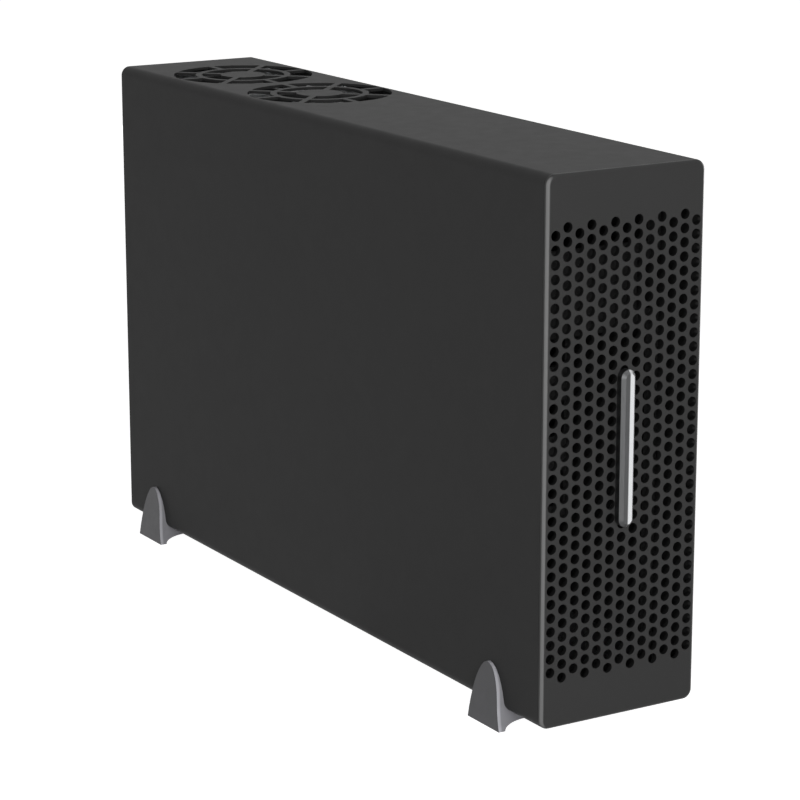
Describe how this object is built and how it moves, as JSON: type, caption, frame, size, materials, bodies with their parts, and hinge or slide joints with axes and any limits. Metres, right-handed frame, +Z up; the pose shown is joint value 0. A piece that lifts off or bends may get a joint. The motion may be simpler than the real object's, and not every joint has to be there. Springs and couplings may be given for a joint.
{
  "type": "pcie expansion chassis",
  "caption": "Tall, narrow enclosure on fin feet, with a perforated front, round top fan grilles and a slide-out cage that holds card slots, fans and a power supply.",
  "frame": {"origin": "centre of the bounding box in X and Y, on the desk plane under the feet", "axes": "+X across the enclosure to the right seen from the front, +Y from the front to the rear, +Z up"},
  "size_m": [0.101, 0.45, 0.273],
  "materials": {
    "sleeve_paint": "fine satin powder coat, dark grey",
    "bezel_paint": "satin powder coat, dark grey",
    "trim_satin": "satin anodised",
    "foot_silver": "satin silver-grey",
    "frame_black": "thin black powder coat",
    "zinc_sheet": "zinc-plated sheet",
    "panel_sheet": "zinc-plated sheet, slightly darker",
    "psu_sheet": "plain plated sheet",
    "screw_steel": "bright zinc",
    "thumb_dark": "dark anodised, knurled",
    "black_plastic": "fine matte",
    "rotor_plastic": "smooth satin",
    "guide_plastic": "fine matte",
    "board_green": "solder resist over glass fibre",
    "supply_board": "phenolic board with its parts",
    "standoff_brass": "turned",
    "sink_metal": "plain extruded",
    "bracket_steel": "bright plated",
    "port_shell": "nickel-plated",
    "plug_white": "natural nylon",
    "lead_jacket": "matte jacket"
  },
  "bodies": {
    "enclosure": {"outer_sleeve": "sleeve_paint", "front_bezel": "bezel_paint", "bezel_brackets": "zinc_sheet", "bezel_screws": "screw_steel", "trim_bar": "trim_satin", "trim_bar_nuts": "screw_steel", "foot_front_left": "foot_silver", "foot_front_right": "foot_silver", "foot_rear_left": "foot_silver", "foot_rear_right": "foot_silver", "foot_screws": "screw_steel", "sleeve_tabs": "zinc_sheet"},
    "card_cage": {"tray_pan": "zinc_sheet", "rear_panel": "panel_sheet", "slot_bay": "zinc_sheet", "front_frame": "frame_black", "top_frame": "zinc_sheet", "frame_rivets": "screw_steel", "card_guide": "guide_plastic", "backplane_shelf": "zinc_sheet", "backplane_board": "board_green", "board_standoffs": "standoff_brass", "board_screws": "screw_steel", "pcie_connector_1": "black_plastic", "pcie_connector_2": "black_plastic", "pcie_connector_3": "black_plastic", "pcie_connector_4": "black_plastic", "controller_card": "board_green", "controller_heatsink": "sink_metal", "controller_bracket": "bracket_steel", "port_a": "port_shell", "port_b": "port_shell", "slot_cover_1": "bracket_steel", "slot_cover_2": "bracket_steel", "slot_cover_3": "bracket_steel", "slot_screws": "screw_steel", "card_screws": "screw_steel", "fan_frame_front": "black_plastic", "fan_frame_rear": "black_plastic", "fan_screws": "screw_steel", "fan_lead_front": "lead_jacket", "fan_lead_rear": "lead_jacket", "fan_plugs": "plug_white", "psu_case": "psu_sheet", "psu_cover": "psu_sheet", "psu_board": "supply_board", "psu_fan_frame": "black_plastic", "psu_screws": "screw_steel", "ac_inlet": "black_plastic", "ac_pins": "port_shell", "power_lead": "lead_jacket", "power_header": "black_plastic", "power_plug": "black_plastic"},
    "front_fan_rotor": {"fan_rotor_front": "rotor_plastic"},
    "rear_fan_rotor": {"fan_rotor_rear": "rotor_plastic"},
    "supply_fan_rotor": {"psu_fan_rotor": "rotor_plastic"},
    "left_thumbscrew": {"thumbscrew_left": "thumb_dark"},
    "right_thumbscrew": {"thumbscrew_right": "thumb_dark"}
  },
  "joints": [
    {"name": "cage_slide", "type": "slide", "parent": "enclosure", "child": "card_cage", "axis": [0, 1, 0], "range_m": [0, 0.4]},
    {"name": "front_fan_spin", "type": "hinge", "parent": "card_cage", "child": "front_fan_rotor", "pos_m": [0, 0.064, 0.2548], "axis": [0, 0, 1], "continuous": true},
    {"name": "rear_fan_spin", "type": "hinge", "parent": "card_cage", "child": "rear_fan_rotor", "pos_m": [0, 0.151, 0.2548], "axis": [0, 0, 1], "continuous": true},
    {"name": "supply_fan_spin", "type": "hinge", "parent": "card_cage", "child": "supply_fan_rotor", "pos_m": [0.01745, 0.204, 0.03205], "axis": [0, 1, 0], "continuous": true},
    {"name": "left_thumbscrew_turn", "type": "hinge", "parent": "card_cage", "child": "left_thumbscrew", "pos_m": [-0.035, 0.216, 0.2097], "axis": [0, 1, 0], "continuous": true},
    {"name": "right_thumbscrew_turn", "type": "hinge", "parent": "card_cage", "child": "right_thumbscrew", "pos_m": [0.035, 0.216, 0.2097], "axis": [0, 1, 0], "continuous": true}
  ]
}
